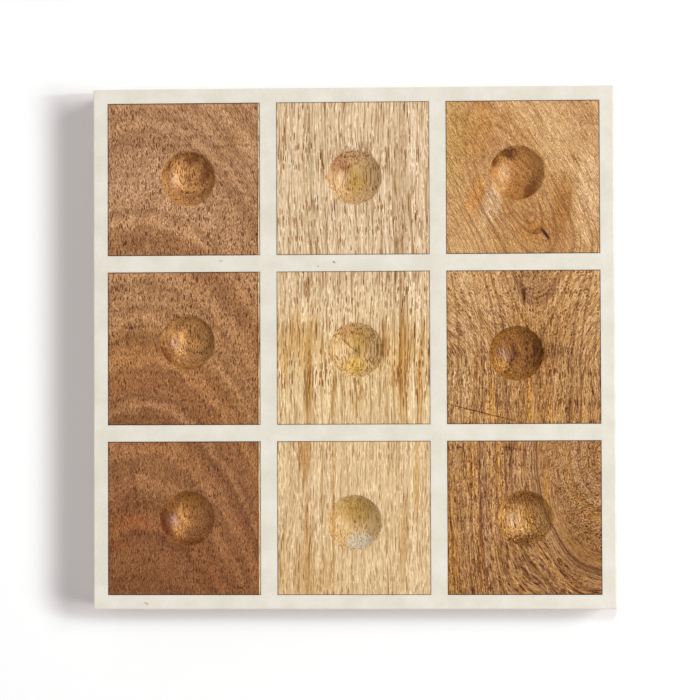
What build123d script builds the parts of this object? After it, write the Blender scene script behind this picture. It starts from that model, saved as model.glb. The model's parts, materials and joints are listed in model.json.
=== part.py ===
from build123d import *
import os

# Tic-tac-toe board. Three planks are glued edge to edge, grooves are cut across their top,
# and white resin is cast into the grooves and round the sides, then sanded flush with the wood.
# A round dish is sunk in each of the nine squares for a ball, and four rubber feet are stuck
# underneath. +Z is up, +Y is the back edge, and the origin is on the table under the board's middle.
# Sizes are in millimetres.

# Board
board_side = 254.0  # outside the resin
board_height = 25.0  # wood and resin, without the feet
rim_width = 7.0  # resin round the sides, as deep as the wood
bar_width = 8.0  # resin bars between the squares
groove_depth = 6.0  # the bars stop here, and the planks run on under them
edge_round = 0.7  # sanded edges and corners of the resin

# Planks, from left to right: the middle one takes the width that the other two leave
left_plank_width = 73.5
right_plank_width = 78.5

# Dishes
dish_diameter = 27.0
dish_depth = 7.4
dish_lip_round = 0.3  # sanded lip, all round the mouth
# The dishes are sunk by hand: how far each lies from its square's middle, to the right and back
dish_drift = {
    "back_left": (2.0, 0.3),
    "back_middle": (0.7, 0.5),
    "back_right": (-2.8, 2.1),
    "centre_left": (1.6, 2.9),
    "centre_middle": (1.1, -1.1),
    "centre_right": (-3.7, -3.1),
    "front_left": (1.3, -0.2),
    "front_middle": (0.1, -2.2),
    "front_right": (0.0, -0.3),
}

# Feet
foot_diameter = 14.0  # where it is stuck to the wood
foot_tread_diameter = 11.0  # before its edge is cut off
foot_height = 3.0
foot_chamfer = 0.7
foot_inset = 24.0  # from the board's sides to the foot's middle

# Places worked out from the sizes
panel_side = board_side - 2 * rim_width
square_side = (panel_side - 2 * bar_width) / 3
square_pitch = square_side + bar_width
underside = foot_height
top_face = underside + board_height
groove_floor = top_face - groove_depth
panel_edge = panel_side / 2
left_glue_line = -panel_edge + left_plank_width
right_glue_line = panel_edge - right_plank_width
dish_cutter_radius = ((dish_diameter / 2) ** 2 + dish_depth**2) / (2 * dish_depth)
foot_spread = board_side - 2 * foot_inset

row_places = {"back": square_pitch, "centre": 0.0, "front": -square_pitch}
column_places = {"left": -square_pitch, "middle": 0.0, "right": square_pitch}
dish_places = []
for row, row_y in row_places.items():
    for column, column_x in column_places.items():
        drift_right, drift_back = dish_drift[f"{row}_{column}"]
        dish_places.append((column_x + drift_right, row_y + drift_back))


def grid_of_bars():
    # Two bars each way, as long as the panel, drawn in the sketch that is open
    with GridLocations(square_pitch, 0, 2, 1):
        Rectangle(bar_width, panel_side)
    with GridLocations(0, square_pitch, 1, 2):
        Rectangle(panel_side, bar_width)


def make_plank(left_side, right_side):
    # The full board thickness, with the grooves cut across it and a dish sunk in each square
    with BuildPart() as plank:
        with BuildSketch(Plane.XY.offset(underside)):
            with Locations(((left_side + right_side) / 2, 0)):
                Rectangle(right_side - left_side, panel_side)
        extrude(amount=board_height)
        with BuildSketch(Plane.XY.offset(groove_floor)):
            grid_of_bars()
        extrude(amount=groove_depth, mode=Mode.SUBTRACT)
        # The cutter lies on its side, so that neither its pole nor its seam comes into a dish
        with Locations([(x, y, top_face - dish_depth + dish_cutter_radius) for x, y in dish_places]):
            Sphere(dish_cutter_radius, rotation=(90, 0, 0), mode=Mode.SUBTRACT)
        dish_mouths = plank.edges().filter_by(GeomType.CIRCLE).group_by(Axis.Z)[-1]
        fillet(dish_mouths, radius=dish_lip_round)
    return plank


os.makedirs("parts", exist_ok=True)

plank_sides = {
    "plank_left": (-panel_edge, left_glue_line),
    "plank_middle": (left_glue_line, right_glue_line),
    "plank_right": (right_glue_line, panel_edge),
}
for plank_name, (left_side, right_side) in plank_sides.items():
    plank = make_plank(left_side, right_side)
    plank.part.label = plank_name
    export_step(plank.part, f"parts/{plank_name}.step")

# One casting: the rim stands as deep as the wood, and the bars fill the grooves
with BuildPart() as resin_grid:
    with BuildSketch(Plane.XY.offset(underside)):
        Rectangle(board_side, board_side)
    extrude(amount=board_height)
    fillet(resin_grid.edges().filter_by(Axis.Z), radius=edge_round)
    fillet(resin_grid.faces().sort_by(Axis.Z)[-1].edges(), radius=edge_round)
    fillet(resin_grid.faces().sort_by(Axis.Z)[0].edges(), radius=edge_round)
    with BuildSketch(Plane.XY.offset(underside)):
        Rectangle(panel_side, panel_side)
    extrude(amount=board_height, mode=Mode.SUBTRACT)
    with BuildSketch(Plane.XY.offset(groove_floor)):
        grid_of_bars()
    extrude(amount=groove_depth)
resin_grid.part.label = "resin_grid"
export_step(resin_grid.part, "parts/resin_grid.step")

# A moulded bumper: it tapers down to a flat tread with a chamfered edge
foot_corners = {
    "foot_front_left": (-1, -1),
    "foot_front_right": (1, -1),
    "foot_back_left": (-1, 1),
    "foot_back_right": (1, 1),
}
for foot_name, (side, end) in foot_corners.items():
    foot_middle = Vector(side * foot_spread / 2, end * foot_spread / 2, 0)
    with BuildPart() as foot:
        with BuildSketch(Plane(origin=foot_middle, x_dir=(1, 0, 0), z_dir=(0, -1, 0))) as profile:
            Polygon(
                (0, 0),
                (foot_tread_diameter / 2, 0),
                (foot_diameter / 2, foot_height),
                (0, foot_height),
                align=None,
            )
            tread_edge = profile.vertices().group_by(Axis.Y)[0].sort_by(Axis.X)[-1]
            chamfer(tread_edge, length=foot_chamfer)
        revolve(axis=Axis(foot_middle, (0, 0, 1)))
    foot.part.label = foot_name
    export_step(foot.part, f"parts/{foot_name}.step")

print(f"squares {square_side:.2f} mm, dish cutter radius {dish_cutter_radius:.2f} mm")
print(f"glue lines at x {left_glue_line:.2f} and {right_glue_line:.2f} mm, top face at z {top_face:.2f} mm")
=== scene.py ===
import json
import math

import bmesh
import bpy
from mathutils import Matrix, Vector


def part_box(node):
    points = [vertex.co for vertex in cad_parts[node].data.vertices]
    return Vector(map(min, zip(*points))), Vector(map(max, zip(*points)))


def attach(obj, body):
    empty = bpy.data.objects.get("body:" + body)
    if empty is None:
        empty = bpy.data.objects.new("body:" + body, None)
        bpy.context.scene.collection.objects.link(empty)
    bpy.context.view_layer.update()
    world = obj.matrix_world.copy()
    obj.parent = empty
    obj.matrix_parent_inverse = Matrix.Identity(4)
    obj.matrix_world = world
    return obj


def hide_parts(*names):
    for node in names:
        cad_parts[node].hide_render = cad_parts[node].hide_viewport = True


# Tic-tac-toe board: three planks glued edge to edge, one casting of pale resin in their grooves
# and round their sides, and four rubber feet. Metres; +X is right, +Y is the back edge, +Z is up.

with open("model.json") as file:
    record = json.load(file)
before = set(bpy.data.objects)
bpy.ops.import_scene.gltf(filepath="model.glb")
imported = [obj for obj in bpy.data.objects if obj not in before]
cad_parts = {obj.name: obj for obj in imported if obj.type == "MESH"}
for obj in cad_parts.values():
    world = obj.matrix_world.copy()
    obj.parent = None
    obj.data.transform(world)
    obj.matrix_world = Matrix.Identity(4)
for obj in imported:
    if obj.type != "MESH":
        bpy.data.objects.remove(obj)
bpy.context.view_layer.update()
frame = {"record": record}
mm = 0.001
bumpHeight = 0.1 * mm  # of the strongest bump in any material
noiseRange = (0.3, 0.7)  # between these lie most values of a noise
scene = bpy.context.scene
scene.view_settings.view_transform = "Standard"

boardLow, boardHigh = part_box("resin_grid")
panelLow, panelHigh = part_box("plank_left")[0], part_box("plank_right")[1]
boardTop = boardHigh.z
dishes = [m for m in frame["record"]["mounts"] if m["name"].startswith("dish_")]
print("frame loaded,", len(dishes), "dishes")

# Short ways to build shader nodes in the tree that was begun last: a value or another node's socket
# goes in, and a socket comes out. A node is made after the nodes that feed it, because otherwise the
# renderer keeps too many values at once, and the golden wood comes out black
begun = {"tree": None}


def addNode(kind, **settings):
    node = begun["tree"].nodes.new(kind)
    for key, value in settings.items():
        setattr(node, key, value)
    return node


def plug(socket, value):
    if isinstance(value, bpy.types.NodeSocket):
        begun["tree"].links.new(value, socket)
    else:
        socket.default_value = value


def plugAll(node, values):
    for socket, value in zip(node.inputs, values):
        plug(socket, value)


def calc(what, *values):
    node = addNode("ShaderNodeMath", operation=what)
    plugAll(node, values)
    return node.outputs[0]


def times(first, second):
    return calc("MULTIPLY", first, second)


def minus(first, second):
    return calc("SUBTRACT", first, second)


def scaled(value, factor, offset):
    return calc("MULTIPLY_ADD", value, factor, offset)


def swayed(value, amount):
    # a noise round 0 instead of round a half
    return scaled(value, amount, -amount / 2)


def switched(amount, first, second):
    return scaled(minus(second, first), amount, first)


def mixed(*parts):
    # the sum of values, each given with its weight
    total = 0.0
    for value, weight in parts:
        total = scaled(value, weight, total)
    return total


def calcVector(what, *values):
    node = addNode("ShaderNodeVectorMath", operation=what)
    plugAll(node, values)
    return node.outputs["Value" if what in ("LENGTH", "DOT_PRODUCT", "DISTANCE") else "Vector"]


def joined(x, y, z):
    node = addNode("ShaderNodeCombineXYZ")
    plugAll(node, (x, y, z))
    return node.outputs[0]


def parted(place):
    node = addNode("ShaderNodeSeparateXYZ")
    plug(node.inputs[0], place)
    return node.outputs


def fade(value, start, end, low=0.0, high=1.0):
    # low up to start, high from end on, and smooth between them
    node = addNode("ShaderNodeMapRange", interpolation_type="SMOOTHSTEP")
    plugAll(node, (value, start, end, low, high))
    return node.outputs[0]


def noise(place, scale=1.0, detail=2.0, rough=0.5, kind="3D"):
    # over a place, or over a single value where the kind is 1D
    node = addNode("ShaderNodeTexNoise", noise_dimensions=kind)
    over = "Vector" if kind == "3D" else "W"
    for name, item in ((over, place), ("Scale", scale), ("Detail", detail), ("Roughness", rough)):
        plug(node.inputs[name], item)
    return node.outputs["Fac"]


def slowNoise(place, scales, detail=2.0):
    # with its own scale along each axis
    return noise(calcVector("MULTIPLY", place, scales), 1.0, detail)


def cells(place, spread):
    node = addNode("ShaderNodeTexVoronoi", feature="F1")
    plug(node.inputs["Vector"], place)
    plug(node.inputs["Scale"], 1.0)
    plug(node.inputs["Randomness"], spread)
    return node.outputs["Distance"], node.outputs["Color"]


def blend(amount, first, second, way="MIX"):
    node = addNode("ShaderNodeMix", data_type="RGBA", blend_type=way)
    node.clamp_factor = True
    for index, value in ((0, amount), (6, first), (7, second)):
        plug(node.inputs[index], (*value, 1.0) if isinstance(value, tuple) else value)
    return node.outputs[2]


def ramp(value, stops):
    node = addNode("ShaderNodeValToRGB")
    plug(node.inputs[0], value)
    marks = node.color_ramp.elements
    while len(marks) < len(stops):
        marks.new(0.5)
    for mark, (place, colour) in zip(marks, stops):
        mark.position = place
        mark.color = (*colour, 1.0)
    return node.outputs[0]


def newGroup(name, places, values, outputs):
    # a group's inputs are places and single values, and its outputs are single values
    tree = begun["tree"] = bpy.data.node_groups.new(name, "ShaderNodeTree")
    for label in places:
        tree.interface.new_socket(label, in_out="INPUT", socket_type="NodeSocketVector")
    for label in values:
        tree.interface.new_socket(label, in_out="INPUT", socket_type="NodeSocketFloat")
    for label in outputs:
        tree.interface.new_socket(label, in_out="OUTPUT", socket_type="NodeSocketFloat")
    given = addNode("NodeGroupInput").outputs
    results = addNode("NodeGroupOutput").inputs
    return tree, given, results


def useGroup(group, *values):
    # the values are given in the order of the group's inputs
    node = addNode("ShaderNodeGroup", node_tree=group)
    plugAll(node, values)
    return node.outputs


def newMaterial(name):
    # place is where a point lies on the object, in mm
    mat = bpy.data.materials.new(name)
    mat.use_nodes = True
    begun["tree"] = mat.node_tree
    skin = mat.node_tree.nodes["Principled BSDF"]
    place = addNode("ShaderNodeTexCoord").outputs["Object"]
    return mat, skin, calcVector("MULTIPLY", place, (1 / mm, 1 / mm, 1 / mm))


def addBump(skin, height, strength):
    bump = addNode("ShaderNodeBump")
    plug(bump.inputs["Strength"], strength)
    plug(bump.inputs["Distance"], bumpHeight)
    plug(bump.inputs["Height"], height)
    plug(skin.inputs["Normal"], bump.outputs[0])


def seenByEye():
    # 1 for what the camera, a reflection or clear glass looks at, and 0 for light that bounces
    path = addNode("ShaderNodeLightPath").outputs
    seen = calc("MAXIMUM", path["Is Camera Ray"], path["Is Glossy Ray"])
    return calc("MAXIMUM", seen, path["Is Transmission Ray"])


# Camera: almost straight above, a little to the right and to the front, as in the photo
view = {"place": (0.0404, -0.0278, 1.128), "turn": (1.382, 2.193, -0.215), "lens": 116.42, "sensor": 36.0}


def makeCamera():
    data = bpy.data.cameras.new("camera")
    data.lens = view["lens"]
    data.sensor_width = view["sensor"]
    data.clip_start = 0.01
    camera = bpy.data.objects.new("camera", data)
    camera.location = view["place"]
    camera.rotation_euler = [math.radians(a) for a in view["turn"]]
    scene.collection.objects.link(camera)
    scene.camera = camera


makeCamera()

# Light: one long soft lamp to the right, and a white room that is brighter to the left and behind
light = {
    "azimuth": 5.8,
    "height": 46.8,
    "distance": 4.5,
    "width": 1.34,
    "length": 2.89,
    "turn": 19.5,
    "watts": 166.0,
    "room": 0.545,
    "lean": (-0.77, 0.385, 0.0),
}


def makeLight():
    data = bpy.data.lights.new("softLamp", "AREA")
    data.shape = "RECTANGLE"
    data.size = light["width"]
    data.size_y = light["length"]
    data.energy = light["watts"]
    lamp = bpy.data.objects.new("softLamp", data)
    az, el, turn = (math.radians(light[angle]) for angle in ("azimuth", "height", "turn"))
    towards = Vector((math.cos(az) * math.cos(el), math.sin(az) * math.cos(el), math.sin(el)))
    lamp.location = towards * light["distance"]
    across = Vector((0, 0, 1)).cross(towards).normalized()  # the lamp's long side lies level
    up = towards.cross(across)
    along = across * math.cos(turn) + up * math.sin(turn)
    lamp.rotation_euler = Matrix((along.cross(towards), along, towards)).transposed().to_euler()
    scene.collection.objects.link(lamp)

    world = bpy.data.worlds.new("room")
    world.use_nodes = True
    scene.world = world
    begun["tree"] = world.node_tree
    world.node_tree.nodes.clear()
    seen = seenByEye()
    direction = addNode("ShaderNodeTexCoord").outputs["Generated"]
    leaning = calcVector("DOT_PRODUCT", direction, light["lean"])
    room = scaled(leaning, light["room"], light["room"])
    back = addNode("ShaderNodeBackground")
    plug(back.inputs["Strength"], switched(seen, room, 1.0))
    plug(addNode("ShaderNodeOutputWorld").inputs["Surface"], back.outputs[0])


makeLight()

# The floor glows a little for the camera; beside the board a painted shadow takes that glow away
floorLook = {
    "half": 6.0,
    "colour": (0.9, 0.9, 0.9),
    "paintedShadowColour": (0.91, 0.86, 0.86),
    "glow": 0.13,
    "paintedShadowReach": (38.0, 18.0),  # mm past the board, from where it starts to where it is full
    # how many times sooner the painted shadow ends than on the left, where the shadow falls
    "right": 12.0,
    "front": 3.6,
    "back": 12.0,
}


def makeFloor():
    bm = bmesh.new()
    bmesh.ops.create_grid(bm, x_segments=1, y_segments=1, size=floorLook["half"])
    mesh = bpy.data.meshes.new("floor")
    bm.to_mesh(mesh)
    bm.free()
    floor = bpy.data.objects.new("floor", mesh)
    scene.collection.objects.link(floor)
    mat, skin, place = newMaterial("floorWhite")
    x, y, z = parted(place)
    right, front, back = (floorLook[side] for side in ("right", "front", "back"))
    reach = 0.0
    for way, sooner in ((x, -1.0), (x, right), (y, -front), (y, back)):
        past = scaled(way, sooner, -abs(sooner) * boardHigh.x / mm)
        past = calc("MAXIMUM", past, 0.0)
        reach = scaled(past, past, reach)
    # painted shadow: a mask beside the board tints the floor darker and pinker and takes its glow away
    shade = fade(calc("SQRT", reach), *floorLook["paintedShadowReach"])
    colour = blend(shade, floorLook["colour"], floorLook["paintedShadowColour"])
    glow = scaled(shade, -floorLook["glow"], floorLook["glow"])
    plug(skin.inputs["Base Color"], colour)
    plug(skin.inputs["Emission Strength"], times(seenByEye(), glow))
    plug(skin.inputs["Emission Color"], (1, 1, 1, 1))
    plug(skin.inputs["Roughness"], 1.0)
    plug(skin.inputs["Specular IOR Level"], 0.0)
    mesh.materials.append(mat)


makeFloor()
print("camera, light and floor made")

# Sizes that the pieces share
grid = {"bar": 8.0 * mm, "grooveDepth": 6.0 * mm}
squareSide = (panelHigh.x - panelLow.x - 2 * grid["bar"]) / 3
squareHalf = squareSide / 2
squarePitch = squareSide + grid["bar"]
grooveFloor = boardTop - grid["grooveDepth"]
squareSides = [s * squarePitch + t * squareHalf for s in (-1, 0, 1) for t in (-1, 1)]


def cutAt(bm, axis, places):
    # cuts a mesh right across at each place along an axis
    normal = Vector((0, 0, 0))
    normal[axis] = 1
    for place in places:
        geom = bm.verts[:] + bm.edges[:] + bm.faces[:]
        bmesh.ops.bisect_plane(bm, geom=geom, dist=1e-7, plane_co=normal * place, plane_no=normal)


def inSquare(point):
    # whether a point, seen from above, is inside one of the nine squares
    return all(min(abs(c - s * squarePitch) for s in (-1, 0, 1)) < squareHalf for c in point.xy)


def outwards(point):
    # how far a point lies from the board's middle, to the side or to the back
    return max(abs(c) for c in point.xy)


def onSquareSide(edge):
    # whether an edge of the top lies along the side of a square, and not along a glue line
    low, high = edge.verts[0].co, edge.verts[1].co
    flat = [axis for axis in (0, 1) if abs(low[axis] - high[axis]) < 1e-6]
    return any(min(abs(low[axis] - s) for s in squareSides) < 1e-5 for axis in flat)


def isTop(face):
    return face.normal.z > 0.9 and face.calc_center_median().z > boardTop - 1e-6


def bevelEdges(bm, edges, width, steps):
    bmesh.ops.bevel(
        bm,
        geom=edges,
        offset=width,
        offset_type="OFFSET",
        affect="EDGES",
        segments=steps,
        profile=0.5,
        material=-1,
        clamp_overlap=True,
    )


def finishPiece(bm, name, material, node):
    # smooth shading that leaves flat faces flat, and the piece in its node's place
    bmesh.ops.recalc_face_normals(bm, faces=bm.faces[:])
    for face in bm.faces:
        face.smooth = True
    for edge in bm.edges:
        edge.smooth = edge.is_manifold and edge.calc_face_angle() < math.radians(40)
    mesh = bpy.data.meshes.new(name)
    bm.to_mesh(mesh)
    bm.free()
    piece = bpy.data.objects.new(name, mesh)
    scene.collection.objects.link(piece)
    mesh.materials.append(material)
    flat = piece.modifiers.new("flatFaces", "WEIGHTED_NORMAL")
    flat.keep_sharp = True
    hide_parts(node)
    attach(piece, "root")
    print(name, "made,", len(mesh.polygons), "faces")


# Effects that the three woods share
grainShape = {
    "depthStretch": 0.6,  # below 1, the marks run deeper into the wood than they are wide
    "randomness": 0.8,
    "sizes": (0.8, 0.6),  # a pore is 0.6 to 1.4 times its size
    "strengths": (0.5, 0.5),
    "shifts": {"pore": 3.1, "streak": 11.0, "fibre": 23.0, "line": 37.0},  # so that they differ
    "pore": (1.05, 0.85),  # times its size: where a pore fades in, and where it is full
    "halo": (2.0, 1.1),
    "line": (0.03, 0.01),
}
# The values of a look's grain and fineGrain, in their order. Widths, lengths and spacing are in mm,
# a pore's size is a share of its spacing, and the share is that of the pores that show
grainInputs = (
    "Pore Spacing", "Pore Length", "Pore Size", "Pore Share",
    "Streak Width", "Streak Length", "Fibre Width", "Fibre Length",
)


def makeGrain():
    # marks of the wood in fibre coordinates: across the fibres, down into the wood, and along them
    inputs = ("Across", "Depth", "Along", *grainInputs)
    outputs = ("Pore", "Halo", "Streak", "Line", "Fibre")
    tree, given, results = newGroup("woodGrain", (), inputs, outputs)

    def stretched(width, length, shift):
        across = calc("DIVIDE", given["Across"], given[width])
        depth = times(given["Depth"], grainShape["depthStretch"])
        depth = calc("DIVIDE", depth, given[width])
        along = calc("DIVIDE", given["Along"], given[length])
        return calcVector("ADD", joined(across, depth, along), (shift, shift * 0.7, shift * 1.3))

    def ringed(distance, size, sizes):
        start, end = (times(size, s) for s in sizes)
        return fade(distance, start, end)

    shifts = grainShape["shifts"]
    pores = stretched("Pore Spacing", "Pore Length", shifts["pore"])
    distance, chance = cells(pores, grainShape["randomness"])
    first, second, third = parted(chance)
    size = times(given["Pore Size"], scaled(first, *grainShape["sizes"]))
    kept = calc("LESS_THAN", second, given["Pore Share"])
    strength = times(kept, scaled(third, *grainShape["strengths"]))
    heart = ringed(distance, size, grainShape["pore"])
    near = ringed(distance, size, grainShape["halo"])
    plug(results["Pore"], times(heart, strength))
    plug(results["Halo"], times(minus(near, heart), kept))
    streaks = stretched("Streak Width", "Streak Length", shifts["streak"])
    plug(results["Streak"], noise(streaks, 1.0, 3.0, 0.6))
    fibres = stretched("Fibre Width", "Fibre Length", shifts["fibre"])
    plug(results["Fibre"], noise(fibres, 1.0, 2.0, 0.7))
    # long thin lines, where a stretched noise crosses its middle
    smooth = noise(stretched("Streak Width", "Streak Length", shifts["line"]), 1.0, 1.0)
    crossing = calc("ABSOLUTE", minus(smooth, 0.5))
    plug(results["Line"], fade(crossing, *grainShape["line"]))
    return tree


def makePatch():
    # a soft oval for stains, cracks, painted highlights and shade; Flame moves its ends along the fibres
    places, values = ("Place", "Middle", "Half"), ("Turn", "Soft", "Flame")
    tree, given, results = newGroup("patch", places, values, ("Mask",))
    x, y, z = parted(calcVector("SUBTRACT", given["Place"], given["Middle"]))
    flat = joined(x, calc("ADD", y, given["Flame"]), 0.0)
    turned = addNode("ShaderNodeVectorRotate", rotation_type="Z_AXIS")
    plug(turned.inputs["Vector"], flat)
    plug(turned.inputs["Angle"], given["Turn"])
    reach = calcVector("LENGTH", calcVector("DIVIDE", turned.outputs[0], given["Half"]))
    start = calc("ADD", 1.0, given["Soft"])
    end = minus(1.0, given["Soft"])
    plug(results["Mask"], fade(reach, start, end))
    return tree


def makeSquareEdge():
    # where wood and resin meet: a thin line on the wood's side, and a wider one on the resin's side
    outputs = ("Wood Side", "Resin Side")
    tree, given, results = newGroup("squareEdge", ("Place",), ("Width",), outputs)
    x, y, z = parted(given["Place"])
    half = squarePitch / mm / 2
    wrapped = [calc("WRAP", way, half, -half) for way in (x, y)]
    past = calc("MAXIMUM", *(calc("ABSOLUTE", way) for way in wrapped))
    past = minus(past, squareHalf / mm)
    start, end = (times(given["Width"], share) for share in (-1.0, -0.3))
    plug(results["Wood Side"], fade(past, start, end))
    plug(results["Resin Side"], fade(past, given["Width"], 0.0))
    return tree


hollowShape = {
    "mouth": (0.15, 1.1),  # mm below the top, where the hollow's colour starts and is full
    "deepest": 9.0,  # mm; deeper down it is the underside
    "rings": 9.0,  # turns of the cutter, in radians per mm
    "tip": (1.1, 0.3),  # mm round the middle
}


def makeHollow():
    # inside the dishes: a mask by depth, the cutter's fine rings, and the mark of its tip
    middles = ("Back Dish", "Centre Dish", "Front Dish")
    outputs = ("Inside", "Rings", "Tip")
    tree, given, results = newGroup("hollow", ("Place", *middles), ("Rim Wear",), outputs)
    x, y, z = parted(given["Place"])
    flat = joined(x, y, 0.0)
    back, centre, front = (calcVector("DISTANCE", flat, given[middle]) for middle in middles)
    reach = calc("MINIMUM", calc("MINIMUM", back, centre), front)
    depth = minus(boardTop / mm, z)
    inside = fade(minus(depth, given["Rim Wear"]), *hollowShape["mouth"])
    inside = times(inside, calc("LESS_THAN", depth, hollowShape["deepest"]))
    plug(results["Inside"], inside)
    plug(results["Rings"], calc("SINE", times(reach, hollowShape["rings"])))
    plug(results["Tip"], fade(reach, *hollowShape["tip"]))
    return tree


grainGroup = makeGrain()
patchGroup = makePatch()
edgeGroup = makeSquareEdge()
hollowGroup = makeHollow()


def dishPlaces(node):
    # the middles of a plank's three dishes, in mm, from back to front
    column = node.removeprefix("plank")
    places = [Vector(d["pos_m"]) / mm for d in dishes if d["name"].endswith(column)]
    return [(p.x, p.y, 0.0) for p in sorted(places, key=lambda p: -p.y)]


def tinted(amount, colour, tint):
    return blend(amount, colour, tint, "MULTIPLY")


def addStainsAndPaintedLight(place, colour, stains, flame=0.0, inside=None):
    # stains and painted light: middle, half width and height, turn in degrees, softness, tint
    for x, y, halfWide, halfTall, turn, soft, tint in stains:
        middle, half, turn = (x, y, 0.0), (halfWide, halfTall, 1.0), math.radians(turn)
        mask = useGroup(patchGroup, place, middle, half, turn, soft, flame)["Mask"]
        if inside is not None:
            mask = times(mask, inside)
        colour = tinted(mask, colour, tint)
    return colour


crackSoftness = 0.4


def addCracks(place, colour, cracks):
    # thin dark lines: both ends, half width, tint
    for x1, y1, x2, y2, width, tint in cracks:
        middle = ((x1 + x2) / 2, (y1 + y2) / 2, 0.0)
        half = (math.hypot(x2 - x1, y2 - y1) / 2, width, 1.0)
        turn = -math.atan2(y2 - y1, x2 - x1)
        mask = useGroup(patchGroup, place, middle, half, turn, crackSoftness, 0.0)["Mask"]
        colour = tinted(mask, colour, tint)
    return colour


def tintsAlong(value, stops):
    # a colour ramp over a value in mm
    low, high = stops[0][0], stops[-1][0]
    place = calc("DIVIDE", minus(value, low), high - low)
    return ramp(place, [((stop - low) / (high - low), tint) for stop, tint in stops])


# What the three woods have alike
woodFinish = {
    "fineShift": 500.0,  # mm along the fibres, so that fine and coarse marks differ
    "calmScale": (0.12, 0.035, 0.12),
    "calmRange": (0.38, 0.6),
    "darkPowers": (1.22, 1.7),  # a dark fibre is warmer: its green and blue fall faster than its red
    "wisps": 16.0,  # mm by which the stains and painted light in the dishes follow the fibres
    "toneShare": (0.6, 0.4),
    "cutterRange": (0.2, 0.5),
    "tip": 0.8,
    "glueLine": (0.4, 0.1),
    "dryPores": -0.8,  # a pore takes most of the dish's polish away
    "fibreHeight": 0.4,
    "poreHeight": -1.0,
    "finePoreHeight": -0.6,
    "ringHeight": 0.1,
    "bump": 0.3,
    "rough": 0.4,
    "gloss": 0.15,
}


def addRings(colour, look, x, y, rings, fibre, inside):
    # tints from the rings' middle outwards, and thin dark lines along the rings
    strong = fade(x, *look["ringFade"]) if "ringFade" in look else 1.0
    for stops in look["rings"]:
        colour = tinted(strong, colour, tintsAlong(rings, stops))
    crossing = minus(noise(rings, look["lineScale"], 1.0, 0.5, "1D"), 0.5)
    thin = fade(calc("ABSOLUTE", crossing), look["ringLineWidth"], 0.0)
    thin = times(thin, fade(y, *look["ringLines"]))
    thin = times(thin, scaled(inside, -0.8, 1.0))
    return tinted(times(thin, fibre), colour, look["line"])


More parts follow.
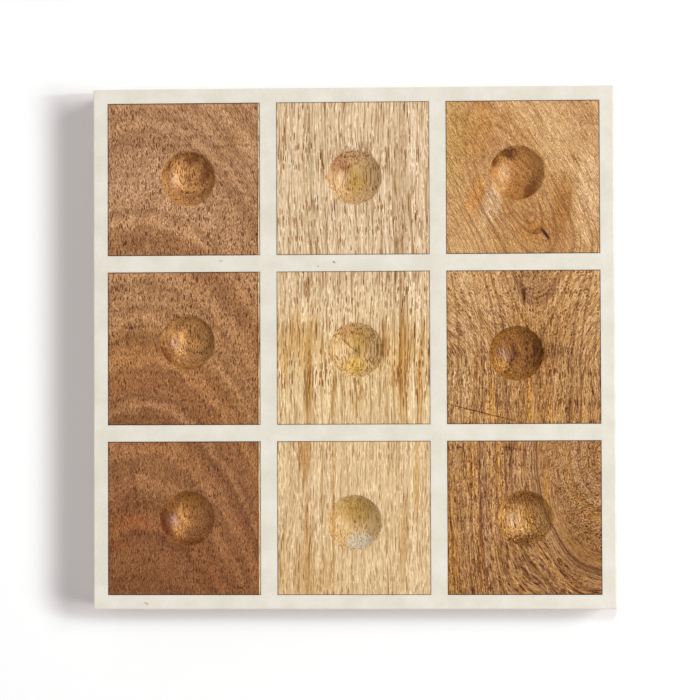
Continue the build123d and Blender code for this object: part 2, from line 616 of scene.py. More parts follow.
def makeWood(look, growth):
    # growth gives the fibre coordinates (across, down and along the fibres) and the distance from
    # the rings' middle, all in mm
    mat, skin, place = newMaterial(look["name"])
    x, y, z = parted(place)
    depth = minus(z, times(y, look["rise"]))
    across, depth, along, rings = growth(look["figure"], place, x, y, z, depth)
    grain = useGroup(grainGroup, across, depth, along, *look["grain"])
    along = calc("ADD", along, woodFinish["fineShift"])
    fine = useGroup(grainGroup, across, depth, along, *look["fineGrain"])
    wear = swayed(grain["Streak"], look["rimWear"])
    hollow = useGroup(hollowGroup, place, *dishPlaces(look["node"]), wear)
    inside = hollow["Inside"]

    # the bare wood: base colours along the plank, rings, streaks and stains
    colour = tintsAlong(y, look["base"])
    parts = [(grain["Streak"], look["streaks"]), (fine["Streak"], look["fineStreaks"])]
    if "rings" in look:
        bands = noise(rings, look["bandScale"], 3.0, 0.6, "1D")
        parts.insert(0, (bands, look["bands"]))
    tone = calc("DIVIDE", mixed(*parts), sum(weight for part, weight in parts))
    toned = ramp(fade(tone, *look["toneRange"]), look["tones"])
    vigour = fade(y, *look["coarse"])
    colour = tinted(scaled(vigour, *woodFinish["toneShare"]), colour, toned)
    if "rings" in look:
        colour = addRings(colour, look, x, y, rings, grain["Fibre"], inside)
    flame = swayed(grain["Streak"], look["flame"])
    colour = addStainsAndPaintedLight(place, colour, look["stains"], flame)
    calm = slowNoise(place, woodFinish["calmScale"])
    lively = times(fade(calm, *woodFinish["calmRange"], look["calm"], 1.0), vigour)
    lines = times(fade(fine["Streak"], *look["lineRange"]), look["lines"])
    lines = calc("MAXIMUM", lines, times(grain["Line"], look["longLines"]))
    colour = tinted(times(lines, lively), colour, look["line"])

    # fibres, pores and cracks
    fibres = fade(grain["Fibre"], *noiseRange, 1 - look["fibre"], 1 + look["fibre"])
    specks = fade(fine["Fibre"], *noiseRange, 1 - look["speck"], 1 + look["speck"])
    both = times(fibres, specks)
    green, blue = (calc("POWER", both, power) for power in woodFinish["darkPowers"])
    colour = tinted(1.0, colour, joined(both, green, blue))
    finePores = times(fade(y, *look["fineCoarse"]), look["finePores"])
    pores = times(lively, look["pores"])
    for part, amount in ((fine, finePores), (grain, pores)):
        colour = tinted(times(part["Halo"], look["halos"]), colour, look["halo"])
        colour = tinted(times(part["Pore"], amount), colour, look["pore"])
    colour = addCracks(place, colour, look["cracks"])

    # the dishes, and the edges along the resin
    colour = tinted(inside, colour, tintsAlong(y, look["insideTints"]))
    wisps = swayed(fine["Streak"], woodFinish["wisps"])
    # stains in the dishes, with painted highlights on left walls and painted shade on back and right walls
    colour = addStainsAndPaintedLight(place, colour, look["dishStainsAndPaintedLight"], wisps, inside)
    rings = times(hollow["Rings"], inside)
    worn = fade(times(rings, grain["Fibre"]), *woodFinish["cutterRange"])
    colour = tinted(times(worn, look["cutterMarks"]), colour, look["line"])
    colour = tinted(times(hollow["Tip"], woodFinish["tip"]), colour, look["tip"])
    edge = useGroup(edgeGroup, place, look["edgeWidth"])["Wood Side"]
    low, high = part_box(look["node"])
    sides = [calc("ABSOLUTE", minus(x, side / mm)) for side in (low.x, high.x)]
    glue = fade(calc("MINIMUM", *sides), *woodFinish["glueLine"])
    colour = tinted(calc("MAXIMUM", edge, glue), colour, look["edge"])

    height = mixed(
        (grain["Fibre"], woodFinish["fibreHeight"]),
        (grain["Pore"], woodFinish["poreHeight"]),
        (fine["Pore"], woodFinish["finePoreHeight"]),
        (rings, woodFinish["ringHeight"]),
    )
    addBump(skin, height, woodFinish["bump"])
    plug(skin.inputs["Base Color"], colour)
    plug(skin.inputs["Roughness"], woodFinish["rough"])
    plug(skin.inputs["Specular IOR Level"], woodFinish["gloss"])
    bare = scaled(calc("MAXIMUM", grain["Pore"], fine["Pore"]), woodFinish["dryPores"], 1.0)
    coat = times(inside, look["coat"])
    plug(skin.inputs["Coat Weight"], times(coat, bare))
    plug(skin.inputs["Coat Roughness"], look["coatRough"])
    return mat


# Brown plank: short dark pores, and growth rings that show as nested arches, because the fibres
# rise towards the back. All lengths are in mm; a tint multiplies the colour under it
brownLook = {
    "name": "brownWood",
    "node": "plank_left",
    "rise": 0.27,
    "figure": {
        "ringMiddle": -103.0,
        "ringDeep": 111.0,  # below the top, at the plank's middle
        "waver": 2.4,
        "waverScale": (0.12, 0.12, 0.12),
        "wander": 10.0,
        "wanderScale": (0.03, 0.02, 0.03),
        "cornerSlope": 0.8,  # towards the back right corner the fibres lean over
        "leanFrom": 28.0,
        "leanSoft": 8.0,
        "lean": 0.6,
    },
    "base": [
        (-120.0, (0.24, 0.091, 0.03)),
        (-83.0, (0.262, 0.106, 0.037)),
        (0.0, (0.343, 0.155, 0.057)),
        (83.0, (0.419, 0.214, 0.096)),
    ],
    "bandScale": 0.35,
    "ringFade": (-78.0, -48.0, 1.0, 0.6),
    "lineScale": 0.2,
    "ringLineWidth": 0.02,
    "ringLines": (-120.0, 120.0, 0.3, 0.3),  # from front to back
    "bands": 0.4,
    "streaks": 0.3,
    "fineStreaks": 0.3,
    "toneRange": (0.3, 0.7),
    "tones": [(0.0, (0.62, 0.56, 0.52)), (0.5, (1.0, 1.0, 1.0)), (1.0, (1.35, 1.42, 1.5))],
    "rings": [
        [  # from the plank's front to its back
            (78.0, (0.8, 0.76, 0.76)), (84.0, (0.9, 0.86, 0.86)), (86.3, (0.78, 0.72, 0.72)),
            (88.5, (0.98, 0.9, 0.86)), (90.6, (0.8, 0.75, 0.72)), (93.0, (1.1, 1.14, 1.16)),
            (99.5, (1.04, 1.02, 1.02)), (101.8, (0.8, 0.74, 0.74)), (103.4, (1.02, 1.04, 1.1)),
            (106.6, (0.84, 0.75, 0.68)), (108.6, (0.9, 0.85, 0.78)), (109.4, (1.16, 1.14, 1.05)),
            (110.6, (0.98, 0.94, 0.86)), (113.4, (0.92, 0.9, 0.82)), (115.0, (1.28, 1.38, 1.45)),
            (116.6, (1.1, 1.15, 1.2)), (121.0, (1.03, 1.05, 1.05)), (126.4, (0.82, 0.74, 0.66)),
            (128.0, (1.08, 1.1, 1.1)), (132.0, (1.1, 1.14, 1.22)), (138.5, (0.94, 0.94, 0.93)),
            (142.0, (1.0, 1.0, 1.0)),
        ]
    ],
    "stains": [
        (-110.7, -84.5, 10.0, 4.0, 0.0, 0.7, (1.16, 1.06, 0.96)),
        (-115.1, -95.6, 6.0, 3.0, 0.0, 0.7, (1.14, 1.07, 0.96)),
        (-112.0, -72.0, 7.0, 8.0, 0.0, 0.6, (0.88, 0.82, 0.82)),
        (-63.0, 98.0, 4.0, 22.0, 32.0, 0.5, (0.94, 0.92, 0.86)),
    ],
    "flame": 8.0,
    "cracks": [(-109.6, 10.6, -107.6, 10.0, 1.0, (0.35, 0.3, 0.3))],
    "grain": (0.74, 4.4, 0.375, 1.0, 3.0, 30.0, 0.5, 3.0),
    "fineGrain": (0.58, 2.6, 0.34, 0.9, 0.8, 8.0, 0.35, 0.8),
    "pore": (0.24, 0.09, 0.035),
    "halo": (1.35, 1.42, 1.5),
    "pores": 0.95,
    "finePores": 0.75,
    "halos": 0.85,
    "line": (0.7, 0.62, 0.55),
    "lineRange": (0.52, 0.62),
    "lines": 0.2,
    "longLines": 0.0,
    "calm": 0.85,
    "coarse": (-70.0, 60.0, 0.75, 1.0),
    "fineCoarse": (-70.0, 60.0, 0.85, 1.0),
    "fibre": 0.14,
    "speck": 0.28,
    "cutterMarks": 0.4,
    "insideTints": [(-83.0, (1.1, 1.1, 0.82)), (0.0, (0.99, 0.98, 0.77)), (83.0, (1.04, 0.93, 0.64))],
    "dishStainsAndPaintedLight": [
        (-92.0, -85.0, 4.0, 9.0, 12.0, 0.5, (0.55, 0.38, 0.3)),
        (-78.0, -94.5, 9.0, 3.0, 0.0, 0.6, (0.7, 0.58, 0.48)),
        # painted highlights on the left walls of the front, centre and back dishes
        (-85.5, -84.0, 4.0, 6.0, 0.0, 0.6, (1.75, 1.95, 2.1)),
        (-86.5, 2.5, 3.6, 6.0, 0.0, 0.6, (1.7, 1.9, 2.0)),
        (-85.5, 85.0, 3.0, 7.0, 15.0, 0.6, (1.35, 1.48, 1.65)),
        (-80.3, -73.8, 5.0, 5.0, 0.0, 0.6, (0.85, 0.85, 0.6)),
        # painted shade on the back and right walls of the back dish
        (-78.0, 94.2, 7.0, 3.0, -10.0, 0.5, (0.55, 0.42, 0.28)),
        (-71.0, 88.0, 3.0, 6.0, 25.0, 0.5, (0.62, 0.5, 0.36)),
        (-91.0, -3.0, 3.6, 9.0, 25.0, 0.5, (0.6, 0.48, 0.38)),
    ],
    "rimWear": 1.6,
    "tip": (0.4, 0.35, 0.3),
    "edge": (0.3, 0.25, 0.2),
    "edgeWidth": 0.7,
    "coat": 0.28,
    "coatRough": 0.28,
}


def brownGrowth(figure, place, x, y, z, depth):
    wander = slowNoise(place, figure["wanderScale"], 1.0)
    corner = mixed((y, 1.0), (x, figure["cornerSlope"]))
    lean = calc("SMOOTH_MAX", minus(corner, figure["leanFrom"]), 0.0, figure["leanSoft"])
    across = mixed((x, 1.0), (wander, figure["wander"]), (lean, figure["lean"]))
    side = minus(x, figure["ringMiddle"])
    deep = minus(figure["ringDeep"] + boardTop / mm, depth)
    rings = calc("SQRT", scaled(side, side, times(deep, deep)))
    waver = swayed(slowNoise(place, figure["waverScale"]), figure["waver"])
    return across, depth, y, calc("ADD", rings, waver)


# Pale plank: straight, long streaks, grey towards the back and golden towards the front
paleLook = {
    "name": "paleWood",
    "node": "plank_middle",
    "rise": 0.04,
    "figure": {"wander": 6.0, "wanderScale": (0.04, 0.015, 0.04)},
    "base": [
        (-120.0, (0.728, 0.512, 0.276)),
        (-45.0, (0.738, 0.518, 0.276)),
        (-12.0, (0.776, 0.553, 0.29)),
        (22.0, (0.75, 0.54, 0.308)),
        (45.0, (0.732, 0.535, 0.326)),
        (120.0, (0.732, 0.535, 0.326)),
    ],
    "streaks": 0.4,
    "fineStreaks": 0.5,
    "toneRange": (0.34, 0.6),
    "tones": [(0.0, (0.8, 0.72, 0.6)), (0.5, (1.0, 1.0, 1.0)), (1.0, (1.08, 1.1, 1.13))],
    "stains": [
        (-20.0, 80.0, 1.3, 40.0, -3.0, 0.6, (0.8, 0.78, 0.7)),
        (24.0, 86.0, 3.6, 60.0, 0.0, 0.5, (0.82, 0.76, 0.7)),
        (28.6, 20.0, 1.4, 110.0, 0.0, 0.6, (1.14, 1.2, 1.3)),
        (-27.0, 4.0, 12.0, 12.0, 0.0, 0.6, (0.88, 0.76, 0.55)),
        (-36.0, 14.0, 3.0, 6.0, 20.0, 0.6, (0.8, 0.72, 0.56)),
        (-21.8, -20.0, 1.8, 24.0, 0.0, 0.6, (0.7, 0.54, 0.33)),
        (-9.6, -28.0, 1.0, 12.0, 5.0, 0.6, (0.74, 0.6, 0.4)),
        (22.0, -3.0, 13.0, 12.0, 0.0, 0.6, (0.9, 0.8, 0.62)),
        (24.0, -18.0, 2.6, 20.0, 0.0, 0.7, (0.78, 0.62, 0.4)),
        (32.0, -16.0, 1.6, 16.0, 0.0, 0.6, (0.8, 0.64, 0.42)),
        (15.3, -3.0, 1.4, 6.5, 0.0, 0.6, (0.66, 0.54, 0.38)),
        (1.5, -22.0, 3.6, 6.0, 0.0, 0.6, (0.84, 0.74, 0.58)),
        (-24.0, -55.0, 2.6, 12.0, 0.0, 0.6, (0.74, 0.58, 0.38)),
        (-22.5, -94.0, 2.0, 18.0, 0.0, 0.6, (0.8, 0.66, 0.48)),
        (-10.0, -80.0, 0.6, 45.0, 0.0, 0.6, (0.78, 0.64, 0.44)),
        (24.0, -92.0, 2.4, 18.0, 0.0, 0.6, (0.82, 0.72, 0.56)),
        (30.4, -62.0, 1.2, 20.0, 0.0, 0.6, (0.82, 0.7, 0.5)),
        (-22.0, -112.0, 16.0, 12.0, 0.0, 0.5, (0.92, 0.84, 0.72)),
        (-3.5, 97.9, 0.9, 0.9, 0.0, 0.4, (0.3, 0.25, 0.2)),
    ],
    "flame": 70.0,
    "cracks": [
        (-6.4, 5.0, 0.6, -1.2, 0.35, (0.45, 0.36, 0.26)),
        (-3.5, 96.0, -3.5, 98.6, 0.5, (0.5, 0.42, 0.36)),
    ],
    "grain": (0.85, 5.0, 0.34, 0.62, 2.2, 150.0, 0.45, 16.0),
    "fineGrain": (0.66, 12.0, 0.33, 0.55, 0.7, 60.0, 0.35, 5.0),
    "pore": (0.4, 0.19, 0.055),
    "halo": (1.22, 1.31, 1.43),
    "pores": 1.0,
    "finePores": 0.95,
    "halos": 0.6,
    "line": (0.5, 0.35, 0.18),
    "lineRange": (0.41, 0.35),
    "lines": 1.0,
    "longLines": 0.8,
    "calm": 0.75,
    "coarse": (-50.0, -15.0, 0.6, 1.0),
    "fineCoarse": (-50.0, -15.0, 0.8, 1.0),
    "fibre": 0.08,
    "speck": 0.22,
    "cutterMarks": 0.6,
    "insideTints": [(-83.0, (0.96, 0.92, 0.78)), (0.0, (1.05, 1.01, 0.86)), (83.0, (0.96, 0.86, 0.7))],
    "dishStainsAndPaintedLight": [
        (-6.7, 90.1, 5.5, 4.5, 30.0, 0.5, (0.74, 0.6, 0.58)),
        (1.2, 81.5, 5.5, 6.5, 0.0, 0.9, (0.76, 0.72, 0.38)),
        (-2.1, 7.7, 6.0, 3.6, 0.0, 0.5, (0.9, 0.8, 0.68)),
        (3.4, 4.0, 4.5, 5.5, 0.0, 0.6, (0.74, 0.68, 0.42)),
        (9.0, -1.0, 4.0, 9.0, 0.0, 0.5, (1.06, 1.12, 1.24)),
        (-8.0, -3.0, 4.5, 7.0, 0.0, 0.5, (0.92, 0.94, 1.0)),
        (1.3, -8.0, 4.5, 4.5, 0.0, 0.6, (0.9, 0.84, 0.45)),
        (1.1, -1.3, 2.2, 2.2, 0.0, 0.6, (0.5, 0.45, 0.3)),
        (1.3, -78.8, 8.0, 6.0, 0.0, 0.6, (0.75, 0.68, 0.42)),
        (3.4, -94.6, 6.8, 4.2, 0.0, 0.3, (1.02, 1.3, 2.1)),
    ],
    "rimWear": 2.0,
    "tip": (0.4, 0.32, 0.2),
    "edge": (0.4, 0.3, 0.22),
    "edgeWidth": 0.6,
    "coat": 0.15,
    "coatRough": 0.3,
}


def paleGrowth(figure, place, x, y, z, depth):
    wander = slowNoise(place, figure["wanderScale"])
    across = mixed((x, 1.0), (wander, figure["wander"]))
    return across, depth, y, across


# Golden plank: the rings close in a leaning oval round the back dish and run on below it
goldenLook = {
    "name": "goldenWood",
    "node": "plank_right",
    "rise": 0.1,
    "figure": {
        "heartRight": 89.7,  # the rings' heart line, and how it leans over towards the back
        "heartLean": -0.4,
        "leanMiddle": 51.0,
        "leanRange": (35.0, 67.0),
        "ovalBack": 72.0,  # the middle of the oval that the rings close to, and its half sizes
        "ovalHalf": (24.4, 45.6),
        "arcs": (122.0, -50.0),  # the middle of the front square's arcs
        "arcSquash": (60.0, 95.0, 0.31, 0.57),  # from left to right
        "frontCount": 100.0,
        "deepening": 0.7,  # how the rings widen below the top
        "fibreLean": 0.55,
        "fan": (-8.0, 46.0, 1.0, 2.1),  # from front to back
        "bendFrom": 96.0,
        "bendSoft": 8.0,
        "bend": -0.9,
        "risingRange": (38.0, 26.0),
        "rising": -0.6,
        "backBar": (38.5, 44.0),
        "frontBar": (-38.5, -44.0),
        "wanderScale": (0.05, 0.03, 0.05),
        "wander": 5.0,
        "ringWander": 3.0,
    },
    "base": [
        (-120.0, (0.41, 0.2, 0.07)),
        (-83.0, (0.5, 0.263, 0.104)),
        (0.0, (0.508, 0.268, 0.112)),
        (50.0, (0.603, 0.342, 0.156)),
        (120.0, (0.63, 0.366, 0.173)),
    ],
    "bandScale": 0.9,
    "lineScale": 0.4,
    "ringLineWidth": 0.025,
    "ringLines": (60.0, 88.0, 1.1, 0.4),
    "bands": 0.32,
    "streaks": 0.45,
    "fineStreaks": 0.2,
    "toneRange": (0.3, 0.7),
    "tones": [
        (0.0, (0.6, 0.48, 0.37)),
        (0.3, (0.84, 0.8, 0.76)),
        (0.45, (1.1, 1.06, 0.84)),
        (0.6, (0.98, 0.98, 1.05)),
        (1.0, (1.26, 1.36, 1.55)),
    ],
    "rings": [
        [  # the back and the centre square's
            (0.0, (0.93, 0.88, 0.8)), (5.0, (0.9, 0.84, 0.76)), (9.0, (0.84, 0.74, 0.62)),
            (12.0, (0.9, 0.84, 0.76)), (14.5, (0.92, 0.9, 0.9)), (18.6, (0.96, 0.92, 0.86)),
            (19.0, (0.78, 0.68, 0.58)), (19.4, (0.98, 0.94, 0.88)), (21.4, (0.94, 0.9, 0.84)),
            (21.9, (0.8, 0.7, 0.62)), (22.4, (0.98, 0.96, 0.92)), (24.0, (0.98, 0.98, 0.94)),
            (26.5, (1.0, 1.0, 0.98)), (28.5, (1.08, 1.14, 1.2)), (30.5, (1.02, 1.05, 1.08)),
            (34.5, (1.1, 1.16, 1.26)), (38.0, (1.06, 1.12, 1.2)), (48.0, (0.98, 0.98, 1.0)),
            (54.0, (0.92, 0.9, 0.94)), (63.0, (1.12, 1.14, 1.15)), (69.0, (0.88, 0.86, 0.86)),
            (76.0, (1.0, 1.0, 1.0)),
        ],
        [  # the front square's, counted from 100
            (106.0, (0.97, 0.93, 0.8)), (109.2, (0.86, 0.8, 0.78)), (111.0, (1.0, 1.0, 1.0)),
            (114.5, (0.98, 0.98, 1.04)), (117.0, (1.2, 1.3, 1.55)), (118.0, (1.12, 1.18, 1.3)),
            (118.6, (0.55, 0.45, 0.38)), (119.2, (0.98, 0.94, 0.76)), (121.4, (1.03, 1.02, 0.84)),
            (122.8, (1.05, 1.09, 1.12)), (124.5, (0.9, 0.87, 0.86)), (130.0, (0.95, 0.92, 0.88)),
            (131.8, (1.02, 0.99, 0.78)), (134.0, (1.0, 0.98, 0.96)), (135.2, (0.8, 0.73, 0.7)),
            (136.5, (1.02, 1.04, 1.1)), (139.2, (1.02, 1.04, 1.14)), (140.8, (0.9, 0.84, 0.82)),
            (142.6, (1.06, 1.03, 0.84)), (144.0, (1.08, 1.1, 1.16)), (146.0, (0.98, 0.97, 0.98)),
            (151.2, (0.92, 0.9, 0.9)), (154.0, (1.08, 1.09, 1.06)), (158.0, (1.06, 1.07, 1.05)),
            (160.4, (0.9, 0.91, 0.98)), (164.0, (1.12, 1.12, 1.04)), (168.0, (1.1, 1.13, 1.12)),
            (170.0, (0.96, 0.95, 0.9)), (177.0, (0.96, 0.94, 0.86)),
        ],
    ],
    "stains": [
        (50.0, 102.0, 6.0, 22.0, 5.0, 0.6, (0.92, 0.92, 0.76)),
        (62.0, 106.0, 6.0, 14.0, 5.0, 0.5, (0.95, 0.88, 0.74)),
        (69.0, 100.0, 5.0, 6.0, 30.0, 0.6, (0.98, 0.93, 0.9)),
        (59.5, 75.0, 3.6, 9.0, 15.0, 0.6, (1.06, 0.9, 0.68)),
        (69.5, 74.0, 4.0, 15.0, 20.0, 0.5, (1.24, 1.46, 2.0)),
        (50.0, 64.0, 7.0, 12.0, 0.0, 0.6, (0.94, 0.9, 0.84)),
        (86.0, 55.7, 7.5, 5.0, -15.0, 0.5, (0.95, 0.85, 0.64)),
        (86.0, 66.0, 5.0, 5.0, 0.0, 0.6, (0.92, 0.9, 0.9)),
        (101.0, 66.0, 5.0, 20.0, 15.0, 0.7, (0.78, 0.66, 0.5)),
        (114.0, 76.0, 6.0, 26.0, 8.0, 0.5, (1.14, 1.22, 1.4)),
        (50.0, 0.0, 8.0, 48.0, 0.0, 0.5, (1.16, 1.24, 1.36)),
        (96.4, -2.5, 5.5, 5.0, 0.0, 0.6, (0.66, 0.58, 0.52)),
        (66.7, -28.0, 1.8, 14.0, 0.0, 0.6, (1.18, 1.14, 0.86)),
        (85.6, -26.0, 2.0, 13.0, 0.0, 0.6, (1.16, 1.12, 0.84)),
        (95.5, -30.0, 1.2, 10.0, 0.0, 0.6, (1.16, 1.1, 0.84)),
        (50.0, -20.0, 7.0, 14.0, 0.0, 0.5, (1.16, 1.26, 1.36)),
        (57.0, -58.0, 2.6, 14.0, 0.0, 0.7, (1.12, 1.09, 0.9)),
        (47.5, -98.0, 2.6, 24.0, 0.0, 0.6, (1.14, 1.1, 0.84)),
        (70.5, -58.0, 2.0, 22.0, 0.0, 0.7, (1.12, 1.08, 0.86)),
        (93.6, -69.0, 1.2, 9.0, 10.0, 0.5, (1.16, 1.12, 0.8)),
        (53.0, -53.0, 2.0, 4.0, 0.0, 0.6, (0.7, 0.62, 0.56)),
        (51.0, -76.0, 3.2, 9.0, 0.0, 0.6, (0.8, 0.74, 0.68)),
        (61.5, -95.0, 1.6, 20.0, 0.0, 0.6, (0.82, 0.74, 0.68)),
        (113.0, -88.0, 12.0, 32.0, 0.0, 0.7, (0.82, 0.77, 0.68)),
        (86.0, 32.0, 11.0, 8.0, 0.0, 0.7, (0.84, 0.85, 0.96)),
    ],
    "flame": 20.0,
    "cracks": [
        (91.4, 57.7, 95.8, 52.0, 0.8, (0.12, 0.08, 0.16)),
        (45.4, -27.5, 79.5, -36.0, 0.35, (0.4, 0.3, 0.22)),
        (83.0, 29.5, 83.0, 20.5, 0.9, (0.35, 0.28, 0.22)),
        (71.0, -48.0, 84.0, -50.2, 0.3, (0.6, 0.5, 0.4)),
    ],
    "grain": (0.7, 5.0, 0.375, 0.95, 2.0, 45.0, 0.45, 5.0),
    "fineGrain": (0.56, 1.7, 0.37, 0.75, 0.6, 26.0, 0.35, 0.9),
    "pore": (0.25, 0.085, 0.024),
    "halo": (1.28, 1.36, 1.45),
    "pores": 1.0,
    "finePores": 1.0,
    "halos": 0.5,
    "line": (0.34, 0.22, 0.13),
    "lineRange": (0.43, 0.4),
    "lines": 0.65,
    "longLines": 0.7,
    "calm": 0.75,
    "coarse": (42.0, -14.0, 0.35, 1.0),
    "fineCoarse": (45.0, 35.0, 0.6, 0.9),
    "fibre": 0.27,
    "speck": 0.26,
    "cutterMarks": 0.7,
    "insideTints": [(-83.0, (1.18, 1.2, 0.9)), (0.0, (0.73, 0.6, 0.35)), (83.0, (0.94, 0.82, 0.6))],
    "dishStainsAndPaintedLight": [
        # painted shade on the back wall of the back dish, in two patches
        (76.0, 94.8, 4.5, 2.2, 5.0, 0.5, (0.3, 0.22, 0.18)),
        (69.3, 91.3, 2.0, 2.6, -30.0, 0.5, (0.36, 0.27, 0.22)),
        (71.5, 82.0, 6.0, 9.0, 15.0, 0.5, (1.22, 1.32, 1.5)),
        # painted shade on the right wall of the back dish
        (86.5, 77.0, 2.4, 6.5, 25.0, 0.5, (0.56, 0.44, 0.34)),
        (71.6, -8.4, 2.6, 3.2, 0.0, 0.6, (1.7, 1.9, 2.0)),
        (79.0, -3.1, 3.0, 3.0, 0.0, 0.6, (0.66, 0.58, 0.42)),
        # painted shade on the right wall of the centre dish
        (89.5, -3.0, 3.0, 9.0, 0.0, 0.6, (0.72, 0.62, 0.5)),
        # painted shade on the back wall of the front dish
        (84.5, -72.5, 9.5, 4.0, -10.0, 0.6, (0.6, 0.5, 0.38)),
        (79.7, -94.8, 9.0, 2.8, -15.0, 0.5, (0.46, 0.36, 0.27)),
        # painted highlight on the left wall of the front dish
        (77.5, -84.0, 5.0, 7.0, -20.0, 0.6, (1.35, 1.5, 1.85)),
    ],
    "rimWear": 1.6,
    "tip": (0.45, 0.4, 0.3),
    "edge": (0.3, 0.25, 0.2),
    "edgeWidth": 0.6,
    "coat": 0.22,
    "coatRough": 0.3,
}


def goldenGrowth(figure, place, x, y, z, depth):
    down = minus(boardTop / mm, z)
    deeper = times(times(down, down), figure["deepening"])

    # rings round the heart line, which close to ovals round the back dish
    leaning = times(minus(y, figure["leanMiddle"]), fade(y, *figure["leanRange"]))
    side = minus(x, scaled(leaning, figure["heartLean"], figure["heartRight"]))
    halfWide, halfLong = figure["ovalHalf"]
    off = calc("DIVIDE", minus(y, figure["ovalBack"]), halfLong)
    bell = calc("EXPONENT", times(times(off, off), -1.0))
    spread = scaled(minus(1.01, bell), halfWide * halfWide, deeper)
    rings = calc("SQRT", scaled(side, side, spread))

    # in the front square they are arcs round a place past its right edge
    right, back = figure["arcs"]
    arcSide = minus(x, right)
    arcOff = times(minus(y, back), fade(x, *figure["arcSquash"]))
    arcSpread = scaled(arcOff, arcOff, deeper)
    arcs = calc("SQRT", scaled(arcSide, arcSide, arcSpread))

    # the fibres lean in the back square, spread out like a V in the centre one, and follow the
    # arcs in the front one; the changes lie under the bars
    atBack = fade(y, *figure["backBar"])
    atFront = fade(y, *figure["frontBar"])
    fanned = calc("DIVIDE", side, fade(y, *figure["fan"]))
    across = switched(atBack, fanned, mixed((x, 1.0), (y, figure["fibreLean"])))
    across = switched(atFront, across, arcs)
    rings = switched(atFront, rings, calc("ADD", arcs, figure["frontCount"]))
    along = switched(atBack, y, mixed((y, 1.0), (x, -figure["fibreLean"])))
    past = calc("SMOOTH_MAX", minus(x, figure["bendFrom"]), 0.0, figure["bendSoft"])
    frontAlong = mixed((y, 1.0), (past, figure["bend"]))
    along = switched(atFront, along, frontAlong)
    # near the arcs' middle the fibres come up to the face, and the pores show as specks
    rising = times(atFront, fade(arcs, *figure["risingRange"]))
    depth = mixed((depth, 1.0), (times(rising, frontAlong), figure["rising"]))
    wander = slowNoise(place, figure["wanderScale"])
    across = mixed((across, 1.0), (wander, figure["wander"]))
    return across, depth, along, mixed((rings, 1.0), (wander, figure["ringWander"]))


# Resin: milky and slightly clouded, cooler along the wood, with a few specks cast in
resinLook = {
    "cloudSize": 14.0,
    "clouds": [(0.0, (0.77, 0.72, 0.61)), (0.5, (0.81, 0.76, 0.65)), (1.0, (0.84, 0.8, 0.7))],
    "mottleSize": 1.1,
    "mottle": 0.02,
    "edge": (0.96, 0.99, 1.03),
    "edgeWidth": 1.6,
    "specks": [
        (-9.3, 41.8, 0.75, 0.45, 30.0, 0.4, (0.42, 0.36, 0.3)),
        (-17.1, 39.9, 0.4, 0.4, 0.0, 0.4, (0.6, 0.52, 0.44)),
        (-64.5, 42.7, 0.9, 0.6, 0.0, 0.6, (0.78, 0.76, 0.72)),
        (-101.2, -124.1, 1.3, 0.5, 25.0, 0.5, (0.72, 0.58, 0.4)),
    ],
    "rough": 0.3,
    "bump": 0.15,
}


def makeResinMaterial():
    look = resinLook
    mat, skin, place = newMaterial("resin")
    cloud = noise(place, 1 / look["cloudSize"], 3.0)
    colour = ramp(fade(cloud, *noiseRange), look["clouds"])
    mottle = noise(place, 1 / look["mottleSize"], 2.0)
    shade = fade(mottle, *noiseRange, 1 - look["mottle"], 1 + look["mottle"])
    colour = tinted(1.0, colour, joined(shade, shade, shade))
    side = useGroup(edgeGroup, place, look["edgeWidth"])["Resin Side"]
    colour = tinted(side, colour, look["edge"])
    colour = addStainsAndPaintedLight(place, colour, look["specks"])
    addBump(skin, mottle, look["bump"])
    plug(skin.inputs["Base Color"], colour)
    plug(skin.inputs["Roughness"], look["rough"])
    return mat


# Rubber: nearly black, finely pitted, a little paler where it is worn
rubberLook = {
    "grainSize": 0.6,
    "tones": [(0.0, (0.02, 0.02, 0.021)), (0.6, (0.032, 0.032, 0.033)), (1.0, (0.06, 0.058, 0.055))],
    "rough": 0.7,
    "bump": 0.4,
}


def makeRubber():
    look = rubberLook
    mat, skin, place = newMaterial("rubber")
    grain = noise(place, 1 / look["grainSize"], 4.0, 0.65)
    addBump(skin, grain, look["bump"])
    plug(skin.inputs["Base Color"], ramp(fade(grain, 0.25, 0.75), look["tones"]))
    plug(skin.inputs["Roughness"], look["rough"])
    return mat


woodBrown = makeWood(brownLook, brownGrowth)
woodPale = makeWood(paleLook, paleGrowth)
woodGolden = makeWood(goldenLook, goldenGrowth)
resinMat = makeResinMaterial()
rubberMat = makeRubber()
print("woods, resin and rubber made")

# Planks
plankShape = {
    "brokenEdge": 0.18 * mm,  # where the wood meets the resin
    "around": 96,  # faces round a dish
    "rings": 84,  # rings of the whole round cutter, with none just below the mouth
    "lip": 0.32 * mm,  # sanded lip of a dish
    "pitWidth": 1.8 * mm,  # the mark that the cutter's tip leaves
    "pitDepth": 0.3 * mm,
}


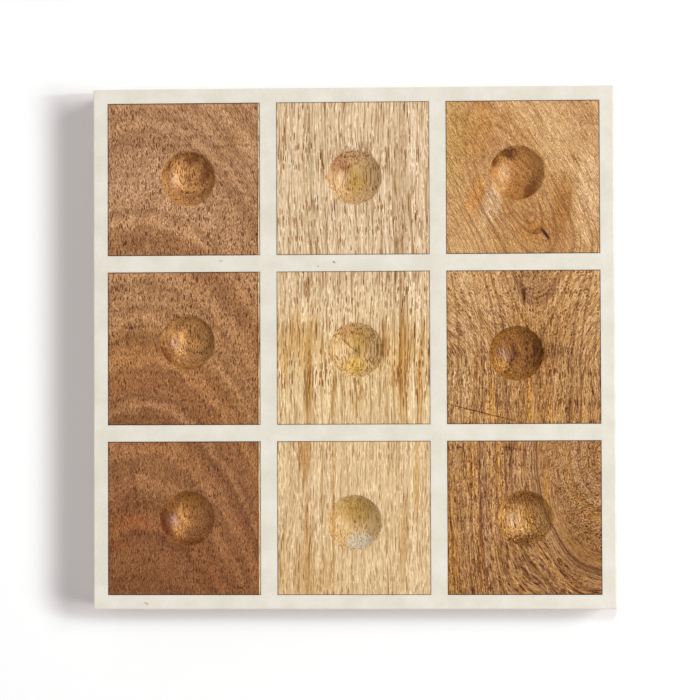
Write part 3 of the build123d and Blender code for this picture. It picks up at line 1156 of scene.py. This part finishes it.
def sinkDish(bm, dish):
    # opens the square's top round the dish and joins the hollow to it
    middle = Vector(dish["pos_m"])
    radius = dish["dims"]["r_mm"] * mm
    above = Vector((middle.x, middle.y, boardTop))
    square = next(f for f in bm.faces if isTop(f) and bmesh.geometry.intersect_face_point(f, above))
    outline = square.edges[:]
    bmesh.ops.delete(bm, geom=[square], context="FACES_ONLY")
    bmesh.ops.subdivide_edges(bm, edges=outline, cuts=plankShape["around"] // 4 - 1)
    outline = [e for e in bm.edges if e.is_boundary]

    # the bowl is joined below its place, because two loops in one plane bridge with a twist
    drop = Vector((0, 0, boardTop))
    ball = bmesh.ops.create_uvsphere(
        bm,
        u_segments=plankShape["around"],
        v_segments=plankShape["rings"],
        radius=radius,
        matrix=Matrix.Translation(middle + Vector((0, 0, radius)) - drop),
    )["verts"]
    faces = {f for v in ball for f in v.link_faces}
    edges = {e for v in ball for e in v.link_edges}
    cut = bmesh.ops.bisect_plane(
        bm,
        geom=ball + list(edges) + list(faces),
        dist=1e-7,
        plane_co=Vector((0, 0, boardTop)) - drop,
        plane_no=(0, 0, 1),
        clear_outer=True,
    )
    mouth = [g for g in cut["geom_cut"] if isinstance(g, bmesh.types.BMEdge)]
    bowl = [v for v in bm.verts if v.co.z < boardTop - drop.z + 1e-7]
    bmesh.ops.bridge_loops(bm, edges=outline + mouth)
    bmesh.ops.translate(bm, vec=drop, verts=bowl)
    bevelEdges(bm, mouth, plankShape["lip"], 3)

    half = plankShape["pitWidth"] / 2
    for vert in bm.verts:
        off = (vert.co.xy - middle.xy).length
        if off < half and vert.co.z > middle.z - mm:
            vert.co.z -= plankShape["pitDepth"] * (1 - (off / half) ** 2)


def makePlank(name, node, material):
    low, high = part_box(node)
    bm = bmesh.new()
    size = Matrix.Diagonal((high.x - low.x, high.y - low.y, grooveFloor - low.z, 1))
    middle = Matrix.Translation(((low.x + high.x) / 2, 0, (low.z + grooveFloor) / 2))
    bmesh.ops.create_cube(bm, size=1.0, matrix=middle @ size)
    cutAt(bm, 0, [x for x in squareSides if low.x + 1e-5 < x < high.x - 1e-5])
    cutAt(bm, 1, squareSides[1:-1])

    # the squares stand above the groove floor
    raised = [f for f in bm.faces if f.normal.z > 0.9 and inSquare(f.calc_center_median())]
    grown = bmesh.ops.extrude_discrete_faces(bm, faces=raised)["faces"]
    corners = {v for f in grown for v in f.verts}
    bmesh.ops.translate(bm, vec=(0, 0, grid["grooveDepth"]), verts=list(corners))
    sides = {e for f in bm.faces if isTop(f) for e in f.edges if onSquareSide(e)}
    bevelEdges(bm, list(sides), plankShape["brokenEdge"], 2)

    for dish in dishes:
        if low.x < dish["pos_m"][0] < high.x:
            sinkDish(bm, dish)
    finishPiece(bm, name, material, node)


makePlank("brownPlank", "plank_left", woodBrown)
makePlank("palePlank", "plank_middle", woodPale)
makePlank("goldenPlank", "plank_right", woodGolden)

# Resin: one casting, as deep as the wood round the sides, and in the grooves between the squares
resinShape = {
    "edgeRound": 0.7 * mm,
    "edgeSteps": 5,
    "brokenEdge": 0.1 * mm,  # where the resin meets the wood
}


def makeResin():
    side = boardHigh.x
    bm = bmesh.new()
    level = Matrix.Translation((0, 0, boardTop))
    bmesh.ops.create_grid(bm, x_segments=1, y_segments=1, size=side, matrix=level)
    cutAt(bm, 0, squareSides)
    cutAt(bm, 1, squareSides)
    squares = [f for f in bm.faces if inSquare(f.calc_center_median())]
    bmesh.ops.delete(bm, geom=squares, context="FACES")

    bmesh.ops.recalc_face_normals(bm, faces=bm.faces[:])
    bmesh.ops.solidify(bm, geom=bm.faces[:], thickness=grid["grooveDepth"])
    floorFaces = [f for f in bm.faces if f.calc_center_median().z < grooveFloor + 1e-6]
    rim = [f for f in floorFaces if outwards(f.calc_center_median()) > squareSides[-1]]
    grown = bmesh.ops.extrude_face_region(bm, geom=rim + list({e for f in rim for e in f.edges}))["geom"]
    low = boardLow.z - grooveFloor
    bmesh.ops.translate(bm, vec=(0, 0, low), verts=[g for g in grown if isinstance(g, bmesh.types.BMVert)])
    bmesh.ops.delete(bm, geom=[e for e in bm.edges if e.is_wire], context="EDGES")
    bmesh.ops.recalc_face_normals(bm, faces=bm.faces[:])

    inner = {e for f in bm.faces if isTop(f) for e in f.edges if onSquareSide(e)}
    bevelEdges(bm, [e for e in inner if e.calc_face_angle() > 1], resinShape["brokenEdge"], 2)
    sharp = [e for e in bm.edges if e.calc_face_angle() > 1]
    outside = [e for e in sharp if all(outwards(v.co) > side - 1e-6 for v in e.verts)]
    bevelEdges(bm, outside, resinShape["edgeRound"], resinShape["edgeSteps"])
    finishPiece(bm, "resinGrid", resinMat, "resin_grid")


makeResin()

# Feet: moulded rubber bumpers with a shallow hollow in the tread
footShape = {
    "around": 64,
    "treadDiameter": 11.0 * mm,
    "roundEdge": 0.7 * mm,
    "rimWidth": 1.6 * mm,
    "hollow": 0.25 * mm,
}


def lowestFace(bm):
    return min(bm.faces, key=lambda f: f.calc_center_median().z)


def makeFoot(name, node):
    low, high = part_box(node)
    bm = bmesh.new()
    bmesh.ops.create_cone(
        bm,
        cap_ends=True,
        segments=footShape["around"],
        radius1=footShape["treadDiameter"] / 2,
        radius2=(high.x - low.x) / 2,
        depth=high.z - low.z,
        matrix=Matrix.Translation((low + high) / 2),
    )
    bevelEdges(bm, lowestFace(bm).edges[:], footShape["roundEdge"], 4)
    tread = lowestFace(bm)
    bmesh.ops.inset_region(bm, faces=[tread], thickness=footShape["rimWidth"])
    bmesh.ops.inset_region(bm, faces=[tread], thickness=footShape["hollow"] * 2, depth=-footShape["hollow"])
    finishPiece(bm, name, rubberMat, node)


for row in ("front", "back"):
    for side in ("left", "right"):
        makeFoot(row + side.capitalize() + "Foot", f"foot_{row}_{side}")
